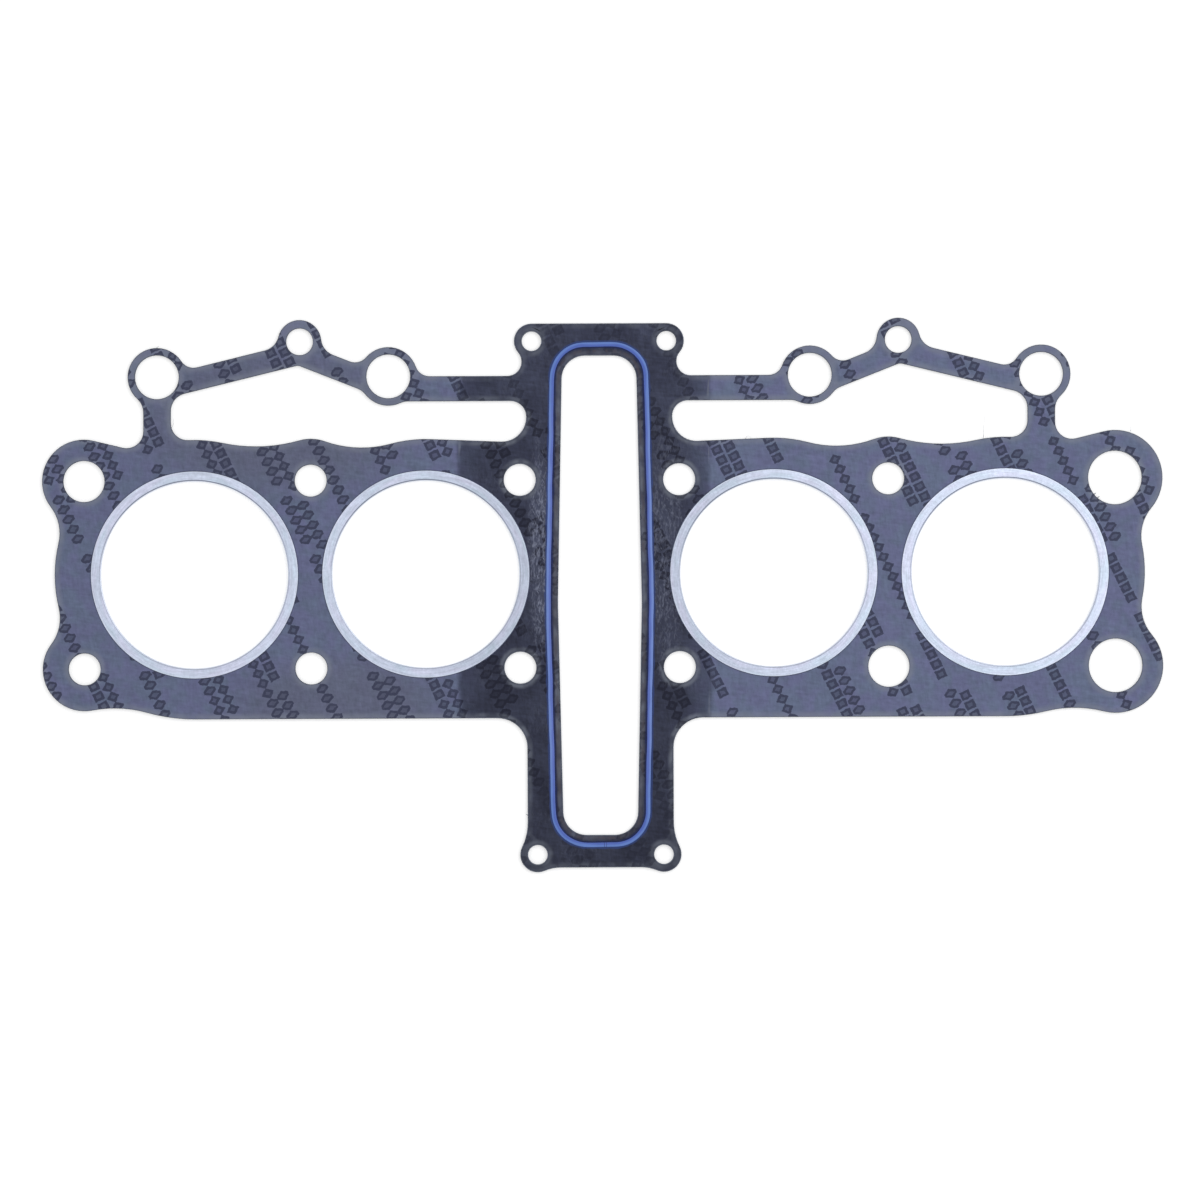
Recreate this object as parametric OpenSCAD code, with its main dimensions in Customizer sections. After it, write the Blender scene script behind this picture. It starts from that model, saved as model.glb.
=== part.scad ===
// Cylinder head gasket for an air-cooled in-line four with a chain tunnel between the middle bores.
//
// The gasket lies flat. The origin is the centre of the four inner stud holes, half-way through the
// sheet. +X runs along the row of bores, +Y points to the oil arms and +Z out of the upper face.
// Each outline is a string pulled tight round pegs: lands round the holes, and fillets between them.

/* [Bores and fire rings] */
// Clear diameter inside each fire ring
bore_d = 64.5; // [60:0.5:66]
// Distance from an end bore to the bore beside it
bore_pitch = 79.8; // [77:0.1:84]
// Distance between the two middle bores, across the chain tunnel
bore_pitch_mid = 120; // [116:0.5:126]
// Width of a ring seen from above, from its clear bore to its outer edge
ring_w = 3.45; // [2.5:0.05:4]
// Thickness of the ring's folded metal
ring_metal_t = 0.2; // [0.1:0.05:0.3]
// Outside radius of the fold at the bore
ring_fold_r = 0.4; // [0.25:0.05:0.45]
// Rounding of the ring's outer edge
ring_edge_r = 0.08; // [0.02:0.02:0.08]
// Gap between the ring's wall and the edge of the sheet
ring_seat_gap = 0.05; // [0.02:0.01:0.2]

/* [Facing sheet] */
// Thickness of the sheet
sheet_t = 1.1; // [0.8:0.1:2]
// Distance from the row of bores to the long lower edge
lower_edge_y = 49.8; // [47:0.2:54]
// Radius of the edge's swell below each end bore
swell_r = 60; // [50:1:70]
// Hollow of the lower edge between the swell and the corner land
swell_hollow_r = 41; // [30:1:50]
// Radius of each end's bulge, struck from the end bore
end_bulge_r = 48.2; // [46:0.2:52]
// Hollow between the end's bulge and a corner land
end_hollow_r = 15; // [10:1:20]
// Radius of the upper edge over each bore, struck from the bore
crest_r = 46.6; // [44:0.2:49]
// Hollow of the upper edge between a middle bore and its stud
inner_trough_r = 38; // [30:1:45]
// Hollow of the upper edge between the stud and the end bore
outer_trough_r = 55; // [45:1:65]

/* [Stud holes] */
// Diameter of the holes for the head studs
stud_d = 11; // [9:0.5:13]
// Distance between the two rows of stud holes
stud_row_gap = 64.8; // [62:0.2:68]
// Distance of the inner stud holes from the middle bores, towards the centre line
stud_inner_inset = 32.5; // [31:0.1:34]
// Distance of the middle stud holes from half-way between two bores, towards the centre line
stud_mid_inset = 0.3; // [0:0.1:2]
// Distance of the end holes outside the end bores
stud_end_reach = 38; // [34:0.2:42]
// Land of the sheet round a stud, from the hole's centre
stud_land_r = 14.45; // [12:0.05:15.5]
// Diameter of the two holes that clear the dowels
dowel_d = 14.2; // [12:0.2:16]
// Diameter of the two oil ports at the right-hand end
end_port_d = 18.5; // [16:0.5:21]
// Land of the sheet round an oil port at the right-hand end
end_port_land_r = 16.4; // [15:0.1:18]

/* [Chain tunnel] */
// Gap between the tunnel's upper end and the line of the upper screws
tunnel_top_gap = 5.05; // [4:0.05:7]
// Distance from the row of bores to the tunnel's lower end
tunnel_low_y = 90.2; // [86:0.2:92]
// Width of the tunnel at both ends
tunnel_w = 25.8; // [22:0.2:28]
// Outward bow of each long side
tunnel_bow = 1.55; // [0.4:0.05:2.5]
// Height of the widest place below the row of bores
tunnel_bow_y = 10; // [0:1:20]
// Radius of the bow at the widest place
tunnel_bow_r = 60; // [30:1:90]
// Radius of the tunnel's corners
tunnel_corner_r = 8; // [6:0.5:10]
// Width of the sheet across the tunnel's neck
neck_w = 50.4; // [48:0.2:53]
// Fillet between the lower edge and the neck
neck_fillet_r = 10.3; // [7:0.1:13]

/* [Tunnel flanges] */
// Diameter of the screw holes in both flanges
flange_hole_d = 6.7; // [5:0.1:7.5]
// Land round each flange screw
flange_land_r = 6.05; // [5.5:0.05:7]
// Distance of the upper screws from the centre line
top_flange_x = 23.25; // [22:0.05:25]
// Height of the upper screws above the line of the oil ports
top_flange_rise = 11.95; // [10:0.05:14]
// Fillet below each upper screw land
top_flange_fillet_r = 4.9; // [3:0.1:6]
// Distance of the lower screws inside the neck's sides
low_flange_inset = 3.45; // [2.5:0.05:4.5]
// Distance of the lower screws below the tunnel's lower end
low_flange_drop = 6.75; // [5.5:0.05:8]
// Height of the lower edge between the screw lands, above their lowest point
low_flange_rise = 1.6; // [0.5:0.1:2.5]
// Fillet from the flat lower edge to each screw land
low_flange_fillet_r = 14; // [8:1:20]
// Fillet from the lower screw land to the neck
low_neck_fillet_r = 19.6; // [10:0.2:24]

/* [Oil arms] */
// Diameter of the four oil ports in the arms
port_d = 15.1; // [12:0.1:16]
// Sideways distance of each oil port from its bore
port_shift = 12.7; // [11:0.1:14]
// Height of the oil ports above the body's crests
port_rise = 21.65; // [20:0.05:24]
// Land round each oil port
port_land_r = 10.1; // [9.5:0.1:11]
// Diameter of the screw hole between two ports
arm_hole_d = 9.2; // [7:0.2:10]
// Distance of each arm screw from the middle of its two ports, towards the tunnel
arm_hole_shift = 9.35; // [7:0.05:12]
// Height of the arm screws above the line of the oil ports
arm_hole_rise = 12.05; // [10:0.05:14]
// Land round each arm screw
arm_land_r = 7.5; // [6.5:0.1:8]
// Width of the two slanted bands, below the line of their holes
band_w = 7.8; // [6.5:0.1:9]
// Width of the level band, below the line of its port
level_band_w = 8.65; // [7.5:0.05:10]
// Width of the leg that carries the outer port
leg_w = 9.5; // [8:0.1:11]
// Height of the leg's foot below the top of the corner land
foot_drop = 3; // [1:0.5:4]
// Fillet at the leg's foot
foot_fillet_r = 5.8; // [4:0.2:8]
// Fillet from the leg to its port land
leg_fillet_r = 6.5; // [4:0.5:8]
// Least straight stretch of the leg between its two fillets
leg_straight = 1; // [0.2:0.1:3]
// Fillet above the bands, beside an oil port
port_fillet_r = 5; // [3:0.5:7]
// Fillet above the bands, beside an arm screw
arm_fillet_r = 6.4; // [4:0.2:8]
// Fillet below the bands, beside an oil port
under_port_fillet_r = 6; // [3:0.5:9]
// Rounding of the slot's peak, below the arm screw
slot_peak_r = 2.5; // [1:0.5:5]
// Rounding of the slot's upper corner at the leg
slot_leg_r = 6.1; // [4:0.1:8]
// Rounding of the slot's lower corner at the leg
slot_foot_r = 5.75; // [4:0.25:8]
// Drop of the slot's lower side at the neck, below the crest over the bore
slot_low_drop = 1; // [0:0.1:3]
// Rounding of the slot's lower corner at the neck
slot_neck_low_r = 8.4; // [5:0.2:9]
// Rounding of the slot's upper corner at the neck
slot_neck_high_r = 5.4; // [4:0.2:7]

/* [Dark coat] */
// Left edge of the dark sealing coat
coat_left_x = -48.6; // [-56:0.2:-40]
// Right edge of the dark sealing coat
coat_right_x = 37.9; // [33:0.1:52]
// Thickness of the coat
coat_t = 0.05; // [0.03:0.01:0.1]
// Bare rim between the coat and each cut edge
coat_rim = 0.3; // [0.1:0.05:0.8]

/* [Silicone bead] */
// Width of the bead
bead_w = 1.75; // [1:0.05:2.4]
// Height of the bead above the coat
bead_h = 0.15; // [0.1:0.01:0.3]
// Gap between the tunnel's edge and the bead
bead_gap = 2.5; // [1.5:0.1:3.2]
// Extra gap at the tunnel's upper end
bead_top_extra = 0.45; // [0:0.05:0.8]

/* [Hidden] */

sheet_color = [0.39, 0.405, 0.50];
coat_color = [0.225, 0.235, 0.30];
ring_color = [0.79, 0.82, 0.88];
bead_color = [0.35, 0.49, 0.79];

// Largest distance between a round stretch of an outline and its chords
chord_gap = 0.025;
// Widest turn between two points of a round stretch
turn_limit = 15;
ring_facets = 180;
fold_steps = 5;
bead_arch_steps = 6;
// Overshoot of the cuts' rectangles past the sheet
beyond = 10;

left = [-1, 0];
right = [1, 0];
up = [0, 1];
down = [0, -1];
middle = [0, 0];

inner_bore_x = bore_pitch_mid / 2;
end_bore_x = inner_bore_x + bore_pitch;
bore_xs = [-end_bore_x, -inner_bore_x, inner_bore_x, end_bore_x];
stud_inner_x = inner_bore_x - stud_inner_inset;
stud_mid_x = (inner_bore_x + end_bore_x) / 2 - stud_mid_inset;
stud_end_x = end_bore_x + stud_end_reach;
stud_y = stud_row_gap / 2;
neck_x = neck_w / 2;
slot_low_y = crest_r - slot_low_drop;
port_y = crest_r + port_rise;
top_flange_y = port_y + top_flange_rise;
tunnel_top_y = top_flange_y - tunnel_top_gap;
low_flange_x = neck_x - low_flange_inset;
low_flange_y = tunnel_low_y + low_flange_drop;
arm_hole_x = (inner_bore_x + end_bore_x) / 2 + port_shift - arm_hole_shift;
arm_hole_y = port_y + arm_hole_rise;
ring_outer_r = bore_d / 2 + ring_w;
ring_wall_r = bore_d / 2 + ring_metal_t;
ring_top_z = sheet_t / 2 + ring_metal_t;
coat_top_z = sheet_t / 2 + coat_t;

inner_port = [inner_bore_x + port_shift, port_y, port_land_r];
outer_port = [end_bore_x + port_shift, port_y, port_land_r];
arm_screw = [arm_hole_x, arm_hole_y, arm_land_r];
top_flange_land = [top_flange_x, top_flange_y, flange_land_r];
low_flange_land = [low_flange_x, -low_flange_y, flange_land_r];
mid_stud_land = [stud_mid_x, stud_y, stud_land_r];
inner_crest = [inner_bore_x, 0, crest_r];
end_crest = [end_bore_x, 0, crest_r];
end_bulge = [end_bore_x, 0, end_bulge_r];
end_swell = [end_bore_x, swell_r - lower_edge_y, swell_r];

// A peg is [x, y, radius]. The string keeps the sheet on its left: it goes round a land, whose
// radius is positive, on the land's outside, and round a hollow, whose radius is negative, inside it.

function flip(pegs) = [for (i = [len(pegs) - 1:-1:0]) [-pegs[i].x, pegs[i].y, pegs[i].z]];

function unit(from, to) =
    let (d = [to.x - from.x, to.y - from.y])
    d / norm(d);

// Hollow that touches the two lands a and b, on the right of the way from a to b
function hollow_between(a, b, r) =
    let (d = [b.x - a.x, b.y - a.y], l = norm(d), ra = a.z + r, rb = b.z + r)
    let (s = (ra * ra - rb * rb + l * l) / (2 * l), h = sqrt(max(0, ra * ra - s * s)))
    [a.x + (d.x * s + d.y * h) / l, a.y + (d.y * s - d.x * h) / l, -r];

// Hollow that touches a land and a straight edge. The edge runs in direction u, off to the right of
// the land's centre, and leaves the land (way 1) or arrives at it (way -1).
function hollow_beside(land, u, off, r, way) =
    let (t = way * sqrt(max(0, pow(land.z + r, 2) - pow(off + r, 2))))
    [land.x + t * u.x + (off + r) * u.y, land.y + t * u.y - (off + r) * u.x, -r];

// Hollow in the corner of two straight edges, which run in directions u1 and u2, off1 and off2 to the
// right of point p
function hollow_corner(p, u1, off1, u2, off2, r) =
    let (a = off1 + r, b = off2 + r, det = u1.x * u2.y - u1.y * u2.x)
    [p.x + (b * u1.x - a * u2.x) / det, p.y + (b * u1.y - a * u2.y) / det, -r];

// Direction of the string from peg a to peg b, in degrees
function string_angle(a, b) =
    let (d = [b.x - a.x, b.y - a.y], s = b.z - a.z)
    atan2(d.y, d.x) - atan2(s, sqrt(max(0, d * d - s * s)));

// Turn from direction a_in to a_out round a peg: to the left round a land, else to the right
function turn(a_in, a_out, r) =
    let (s = sign(r), slack = 20, t = s * (a_out - a_in) + slack)
    s * (t - 360 * floor(t / 360) - slack);

function arc_steps(sweep, r) =
    max(1, ceil(abs(sweep) / min(turn_limit, 2 * acos(max(0, 1 - chord_gap / abs(r))))));

// Stretch of the string round peg c, which grows in radius but keeps the steps of its own size
function peg_arc(c, grow, a_in, a_out) =
    let (r = c.z + grow, sweep = turn(a_in, a_out, r), n = arc_steps(sweep, c.z))
    [for (k = [0:n]) let (a = a_in + sweep * k / n) [c.x + r * sin(a), c.y - r * cos(a)]];

// Points of the closed string round pegs, with the sheet grown by grow on every side. A point has the
// same number in every string of the same pegs.
function string(pegs, grow = 0) =
    let (n = len(pegs), a = [for (i = [0:n - 1]) string_angle(pegs[i], pegs[(i + 1) % n])])
    [for (i = [0:n - 1]) each peg_arc(pegs[i], grow, a[(i + n - 1) % n], a[i])];

// Right-hand side of the gasket, from the middle of the lower flange up to the upper flange
function side_pegs(corner_land_r) =
    let (low_corner = [stud_end_x, -stud_y, corner_land_r])
    let (high_corner = [stud_end_x, stud_y, corner_land_r])
    let (foot_y = stud_y + corner_land_r - foot_drop)
    let (leg_fillet_h = sqrt(pow(port_land_r + leg_fillet_r, 2) - pow(leg_w / 2 + leg_fillet_r, 2)))
    let (foot_r = min(foot_fillet_r, port_y - leg_fillet_h - leg_straight - foot_y))
    let (to_screw = unit(outer_port, arm_screw), to_port = unit(arm_screw, inner_port))
    [hollow_beside(low_flange_land, right, flange_land_r - low_flange_rise, low_flange_fillet_r, -1),
     low_flange_land,
     hollow_beside(low_flange_land, up, neck_x - low_flange_x, low_neck_fillet_r, 1),
     hollow_corner(middle, up, neck_x, right, lower_edge_y, neck_fillet_r),
     end_swell,
     hollow_between(end_swell, low_corner, swell_hollow_r),
     low_corner,
     hollow_between(low_corner, end_bulge, end_hollow_r),
     end_bulge,
     hollow_between(end_bulge, high_corner, end_hollow_r),
     high_corner,
     hollow_corner([outer_port.x, 0], left, foot_y, up, leg_w / 2, foot_r),
     hollow_beside(outer_port, up, leg_w / 2, leg_fillet_r, -1),
     outer_port,
     hollow_beside(outer_port, to_screw, 0, port_fillet_r, 1),
     hollow_beside(arm_screw, to_screw, 0, arm_fillet_r, -1),
     arm_screw,
     hollow_beside(arm_screw, to_port, 0, arm_fillet_r, 1),
     hollow_beside(inner_port, to_port, 0, port_fillet_r, -1),
     inner_port,
     hollow_beside(inner_port, left, 0, port_fillet_r, 1),
     hollow_beside(top_flange_land, left, port_y - top_flange_y, top_flange_fillet_r, -1),
     top_flange_land];

function outline_pegs() = concat(side_pegs(end_port_land_r), flip(side_pegs(stud_land_r)));

// Slot between the right-hand arm and the body, clockwise from its peak below the arm screw
function slot_pegs() =
    let (to_screw = unit(inner_port, arm_screw), to_port = unit(arm_screw, outer_port))
    let (slot_h = port_y - level_band_w - slot_low_y)
    let (low_r = min(slot_neck_low_r, slot_h - slot_neck_high_r))
    [hollow_corner(arm_screw, to_screw, band_w, to_port, band_w, slot_peak_r),
     hollow_corner(outer_port, to_port, band_w, down, leg_w / 2, slot_leg_r),
     hollow_beside(end_crest, down, end_bore_x - outer_port.x + leg_w / 2, slot_foot_r, -1),
     end_crest,
     hollow_between(end_crest, mid_stud_land, outer_trough_r),
     mid_stud_land,
     hollow_between(mid_stud_land, inner_crest, inner_trough_r),
     inner_crest,
     hollow_corner(middle, left, slot_low_y, up, neck_x, low_r),
     hollow_corner([0, port_y], up, neck_x, right, level_band_w, slot_neck_high_r),
     hollow_beside(inner_port, right, level_band_w, under_port_fillet_r, -1),
     inner_port,
     hollow_beside(inner_port, to_screw, band_w, under_port_fillet_r, 1)];

// Chain tunnel, clockwise, with its upper end moved by top_shift
function tunnel_pegs(top_shift = 0) =
    let (x = tunnel_w / 2 - tunnel_corner_r, bow_x = tunnel_w / 2 + tunnel_bow - tunnel_bow_r)
    let (top_y = tunnel_top_y + top_shift - tunnel_corner_r, low_y = tunnel_corner_r - tunnel_low_y)
    [[x, top_y, -tunnel_corner_r],
     [bow_x, -tunnel_bow_y, -tunnel_bow_r],
     [x, low_y, -tunnel_corner_r],
     [-x, low_y, -tunnel_corner_r],
     [-bow_x, -tunnel_bow_y, -tunnel_bow_r],
     [-x, top_y, -tunnel_corner_r]];

// Every round hole apart from the bores: [x, y, diameter]
holes = [
    for (x = [-stud_inner_x, stud_inner_x], y = [-stud_y, stud_y]) [x, y, stud_d],
    for (y = [-stud_y, stud_y]) [-stud_mid_x, y, stud_d],
    [stud_mid_x, stud_y, stud_d],
    [stud_mid_x, -stud_y, dowel_d],
    [-stud_end_x, stud_y, dowel_d],
    [-stud_end_x, -stud_y, stud_d],
    for (y = [-stud_y, stud_y]) [stud_end_x, y, end_port_d],
    for (s = [-1, 1], p = [inner_port, outer_port]) [s * p.x, p.y, port_d],
    for (s = [-1, 1]) [s * arm_hole_x, arm_hole_y, arm_hole_d],
    for (s = [-1, 1]) [s * top_flange_x, top_flange_y, flange_hole_d],
    for (s = [-1, 1]) [s * low_flange_x, -low_flange_y, flange_hole_d]
];

// The sheet seen from above, with round openings of radius bore_cut_r at the bores and a rim of the
// given width taken off every other edge
module sheet_shape(bore_cut_r, rim = 0) {
    difference() {
        polygon(string(outline_pegs(), -rim));
        polygon(string(slot_pegs(), -rim));
        polygon(string(flip(slot_pegs()), -rim));
        polygon(string(tunnel_pegs(), -rim));
        for (x = bore_xs) {
            translate([x, 0]) circle(r = bore_cut_r, $fn = ring_facets);
        }
        for (h = holes) {
            translate([h.x, h.y]) circle(r = h.z / 2 + rim, $fn = 72);
        }
    }
}

// Fibre sheet that carries the rings, the coat and the bead
module sheet() {
    color(sheet_color)
        translate([0, 0, -sheet_t / 2])
            linear_extrude(sheet_t) sheet_shape(ring_wall_r + ring_seat_gap);
}

// Quarter of a circle in the ring's section, from angle a on, as fold_steps straight steps
function fold_arc(c, r, a) =
    [for (k = [0:fold_steps]) c + r * [cos(a - 90 * k / fold_steps), sin(a - 90 * k / fold_steps)]];

// Ring of thin metal folded round the edge of a bore, with a flat flange on both faces
module fire_ring(x) {
    clear_r = bore_d / 2;
    upper = concat(
        fold_arc([clear_r + ring_fold_r, ring_top_z - ring_fold_r], ring_fold_r, 180),
        fold_arc([ring_outer_r - ring_edge_r, ring_top_z - ring_edge_r], ring_edge_r, 90),
        [[ring_outer_r, sheet_t / 2], [ring_wall_r, sheet_t / 2]]
    );
    lower = [for (i = [len(upper) - 1:-1:0]) [upper[i].x, -upper[i].y]];
    color(ring_color)
        translate([x, 0, 0])
            rotate_extrude($fn = ring_facets) polygon(concat(upper, lower));
}

// Dark sealing coat over the middle of one face, cleared round the rings
module coat() {
    color(coat_color)
        translate([0, 0, sheet_t / 2])
            linear_extrude(coat_t)
                intersection() {
                    sheet_shape(ring_outer_r + coat_rim, coat_rim);
                    translate([coat_left_x, -low_flange_y - flange_land_r - beyond])
                        square([coat_right_x - coat_left_x,
                                low_flange_y + top_flange_y + 2 * (flange_land_r + beyond)]);
                }
}

// Printed silicone bead round the chain tunnel, swept as a low arch along the tunnel's own outline
module bead() {
    near = string(tunnel_pegs(bead_top_extra), -bead_gap);
    far = string(tunnel_pegs(bead_top_extra), -bead_gap - bead_w);
    n = len(near);
    m = bead_arch_steps;
    points = [for (i = [0:n - 1], k = [0:m])
        let (p = near[i] + (far[i] - near[i]) * (1 - cos(180 * k / m)) / 2)
        [p.x, p.y, coat_top_z + bead_h * sin(180 * k / m)]];
    faces = [for (i = [0:n - 1], k = [0:m])
        let (j = (i + 1) % n, l = (k + 1) % (m + 1))
        [i * (m + 1) + k, i * (m + 1) + l, j * (m + 1) + l, j * (m + 1) + k]];
    color(bead_color) polyhedron(points, faces, convexity = 4);
}

sheet();
fire_ring(bore_xs[0]);  // fire_ring_1
fire_ring(bore_xs[1]);  // fire_ring_2
fire_ring(bore_xs[2]);  // fire_ring_3
fire_ring(bore_xs[3]);  // fire_ring_4
coat();  // coat_upper
mirror([0, 0, 1]) coat();  // coat_lower
bead();  // bead_upper
mirror([0, 0, 1]) bead();  // bead_lower
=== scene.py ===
"""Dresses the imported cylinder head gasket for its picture.

The facing sheet, fire rings, sealing coat and silicone bead are modelled again round their CAD
nodes, with the fibres left at the punched edges, and lit on a pale floor. Meshes are in metres.
Patterns inside the materials are in millimetres. A pair of numbers for an ease is where it is 0
and where it is 1, and a pair for a slope is the slope and the level that it starts from.
"""
import logging
import math
from dataclasses import dataclass
from enum import Enum
from functools import reduce
from typing import Iterable, Optional, Sequence, Union

import bmesh
import bpy
from mathutils import Matrix, Vector
from mathutils.kdtree import KDTree


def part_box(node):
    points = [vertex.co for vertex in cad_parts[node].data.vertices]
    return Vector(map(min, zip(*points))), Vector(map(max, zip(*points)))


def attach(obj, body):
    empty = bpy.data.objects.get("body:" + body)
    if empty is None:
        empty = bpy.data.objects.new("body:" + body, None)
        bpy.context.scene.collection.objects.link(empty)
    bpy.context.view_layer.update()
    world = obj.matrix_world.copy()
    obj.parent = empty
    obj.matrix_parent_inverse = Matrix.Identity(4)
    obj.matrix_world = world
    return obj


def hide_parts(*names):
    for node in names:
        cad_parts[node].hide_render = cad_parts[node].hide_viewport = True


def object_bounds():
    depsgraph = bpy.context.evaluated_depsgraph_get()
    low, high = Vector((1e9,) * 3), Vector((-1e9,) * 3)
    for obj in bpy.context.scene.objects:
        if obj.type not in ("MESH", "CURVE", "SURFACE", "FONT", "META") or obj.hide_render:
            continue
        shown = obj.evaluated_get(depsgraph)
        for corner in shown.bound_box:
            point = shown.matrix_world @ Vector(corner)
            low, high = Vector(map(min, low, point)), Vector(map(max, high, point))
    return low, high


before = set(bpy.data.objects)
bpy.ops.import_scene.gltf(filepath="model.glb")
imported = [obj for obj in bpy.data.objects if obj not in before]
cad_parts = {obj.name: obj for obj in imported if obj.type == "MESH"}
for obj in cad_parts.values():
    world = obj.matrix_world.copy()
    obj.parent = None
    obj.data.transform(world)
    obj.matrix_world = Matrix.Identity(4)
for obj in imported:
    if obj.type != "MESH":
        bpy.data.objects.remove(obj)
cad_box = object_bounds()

LOG = logging.getLogger("gasket")
MM = 0.001
MERGE_DIST = 1e-7
SHARP_ANGLE = math.radians(40)
WHITE = (1.0, 1.0, 1.0, 1.0)

Rgb = tuple[float, float, float]
Triple = tuple[float, float, float]
Pair = tuple[float, float]
Spot = tuple[Pair, Pair]
Mesh = bmesh.types.BMesh
Material = bpy.types.Material
Object = bpy.types.Object
Node = bpy.types.Node
Socket = bpy.types.NodeSocket
Value = Union[float, Sequence[float], Socket]


class Slot(Enum):
    """Names of the four finishes, one for each; the punched layers keep one."""

    FACING = "facing"
    RING = "ring_metal"
    COAT = "dark_coat"
    BEAD = "silicone"


class Face(Enum):
    """The two faces of the gasket, with the sign of their height."""

    UPPER = 1
    LOWER = -1


@dataclass(frozen=True)
class Tint:
    """A colour of 0 to 255, as a screen shows it, and how strongly it is laid over another."""

    rgb: Rgb
    share: float = 1.0


@dataclass(frozen=True)
class Mottle:
    """A smooth noise round 0.5 in a material.

    Attributes:
        scale: Blotches to the millimetre.
        detail: Number of finer layers.
        seed: Picks one noise of its kind.
        rise: Levels that are made 0 and 1.
        swing: How far a factor or distance made of it goes to each side.
        turn: Angle of its grain, in degrees.
        stretch: What its place is multiplied by.
    """

    scale: float
    detail: float
    seed: float
    rise: Optional[Pair] = None
    swing: float = 0.0
    turn: float = 0.0
    stretch: Optional[Triple] = None


def linear(rgb: Rgb) -> tuple[float, float, float, float]:
    """Turns a colour of 0 to 255 into the linear one, with full opacity, that a shader takes."""
    parts = [c / 255 for c in rgb]
    return (*[c / 12.92 if c <= 0.04045 else ((c + 0.055) / 1.055) ** 2.4 for c in parts], 1.0)


class Nodes:
    """Nodes of one tree, added in order and joined as they come."""

    def __init__(self, tree: bpy.types.NodeTree) -> None:
        """Keeps the tree that the nodes are added to."""
        self.tree = tree

    def add(self, kind: str, **settings: object) -> Node:
        """Adds a node.

        Args:
            kind: Blender's name for the kind of node.
            **settings: Values set on the node itself.

        Returns:
            The new node.
        """
        node = self.tree.nodes.new(kind)
        for name, value in settings.items():
            setattr(node, name, value)
        return node

    def wire(self, node: Node, inputs: dict[Union[int, str], Value]) -> Node:
        """Joins inputs of a node to other sockets, or sets their values.

        Args:
            node: The node.
            inputs: What goes into each input, by its number or name.

        Returns:
            The same node.
        """
        for key, value in inputs.items():
            if isinstance(value, Socket):
                self.tree.links.new(value, node.inputs[key])
            else:
                node.inputs[key].default_value = value
        return node

    def fill(self, node: Node, *values: Value) -> Node:
        """Fills the first inputs of a node, in order."""
        return self.wire(node, dict(enumerate(values)))

    def calc(self, operation: str, *values: Value) -> Socket:
        """Works out a Math operation."""
        return self.fill(self.add("ShaderNodeMath", operation=operation), *values).outputs[0]

    def plus(self, first: Value, second: Value) -> Socket:
        """Adds two numbers."""
        return self.calc("ADD", first, second)

    def minus(self, first: Value, second: Value) -> Socket:
        """Takes the second number from the first."""
        return self.calc("SUBTRACT", first, second)

    def chain(self, operation: str, values: Sequence[Value]) -> Value:
        """Works out a Math operation over several numbers, from the left."""
        return reduce(lambda done, value: self.calc(operation, done, value), values)

    def times(self, *factors: Value) -> Value:
        """Multiplies numbers."""
        return self.chain("MULTIPLY", factors)

    def most(self, *values: Value) -> Value:
        """Gives the largest number."""
        return self.chain("MAXIMUM", values)

    def least(self, *values: Value) -> Value:
        """Gives the smallest number."""
        return self.chain("MINIMUM", values)

    def sloped(self, value: Value, slope: Value, level: Value) -> Socket:
        """Gives value times slope, plus level."""
        return self.calc("MULTIPLY_ADD", value, slope, level)

    def apart(self, first: Value, second: Value) -> Socket:
        """Gives how far apart two numbers are."""
        return self.calc("ABSOLUTE", self.minus(first, second))

    def vector(self, operation: str, *values: Value) -> Socket:
        """Works out a Vector Math operation that gives a vector, or LENGTH."""
        node = self.fill(self.add("ShaderNodeVectorMath", operation=operation), *values)
        return node.outputs["Value" if operation == "LENGTH" else "Vector"]

    def scaled(self, vector: Value, factor: Value) -> Socket:
        """Multiplies a vector or a colour by one factor."""
        node = self.add("ShaderNodeVectorMath", operation="SCALE")
        return self.wire(node, {0: vector, "Scale": factor}).outputs["Vector"]

    def join(self, x: Value, y: Value, z: Value = 0.0) -> Socket:
        """Joins three numbers into a vector."""
        return self.fill(self.add("ShaderNodeCombineXYZ"), x, y, z).outputs[0]

    def split(self, vector: Socket) -> tuple[Socket, Socket, Socket]:
        """Splits a vector into its three numbers."""
        return tuple(self.fill(self.add("ShaderNodeSeparateXYZ"), vector).outputs)

    def distance(self, x: Value, y: Value) -> Socket:
        """Gives the length of a level way."""
        return self.vector("LENGTH", self.join(x, y))

    def turned(self, vector: Socket, degrees: float) -> Socket:
        """Turns a place about the height axis."""
        turn = (0.0, 0.0, math.radians(degrees))
        return self.fill(self.add("ShaderNodeMapping"), vector, (0.0, 0.0, 0.0), turn).outputs[0]

    def noise(self, vector: Value, scale: float, detail: float, seed: Value) -> Socket:
        """Reads a smooth noise round 0.5."""
        node = self.add("ShaderNodeTexNoise", noise_dimensions="4D")
        return self.fill(node, vector, seed, scale, detail).outputs[0]

    def around(self, value: Socket, swing: float, centre: float = 1.0) -> Socket:
        """Makes a number round 0.5 swing round a centre."""
        return self.sloped(value, 2 * swing, centre - swing)

    def chance(self, x: Value, y: Value, seed: float) -> Socket:
        """Draws a fixed number from 0 to 1 for each whole x and y, and another for each seed."""
        node = self.add("ShaderNodeTexWhiteNoise", noise_dimensions="3D")
        return self.fill(node, self.join(x, y, seed)).outputs["Value"]

    def ease(self, value: Socket, start: float, end: float) -> Socket:
        """Goes smoothly from 0 at start to 1 at end, and end may be below start.

        Args:
            value: The number that is eased.
            start: Where the result is 0.
            end: Where the result is 1.

        Returns:
            A number from 0 to 1.
        """
        node = self.add("ShaderNodeMapRange", interpolation_type="SMOOTHSTEP")
        low, high = min(start, end), max(start, end)
        return self.fill(node, value, low, high, float(end < start), float(end >= start)).outputs[0]

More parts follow.
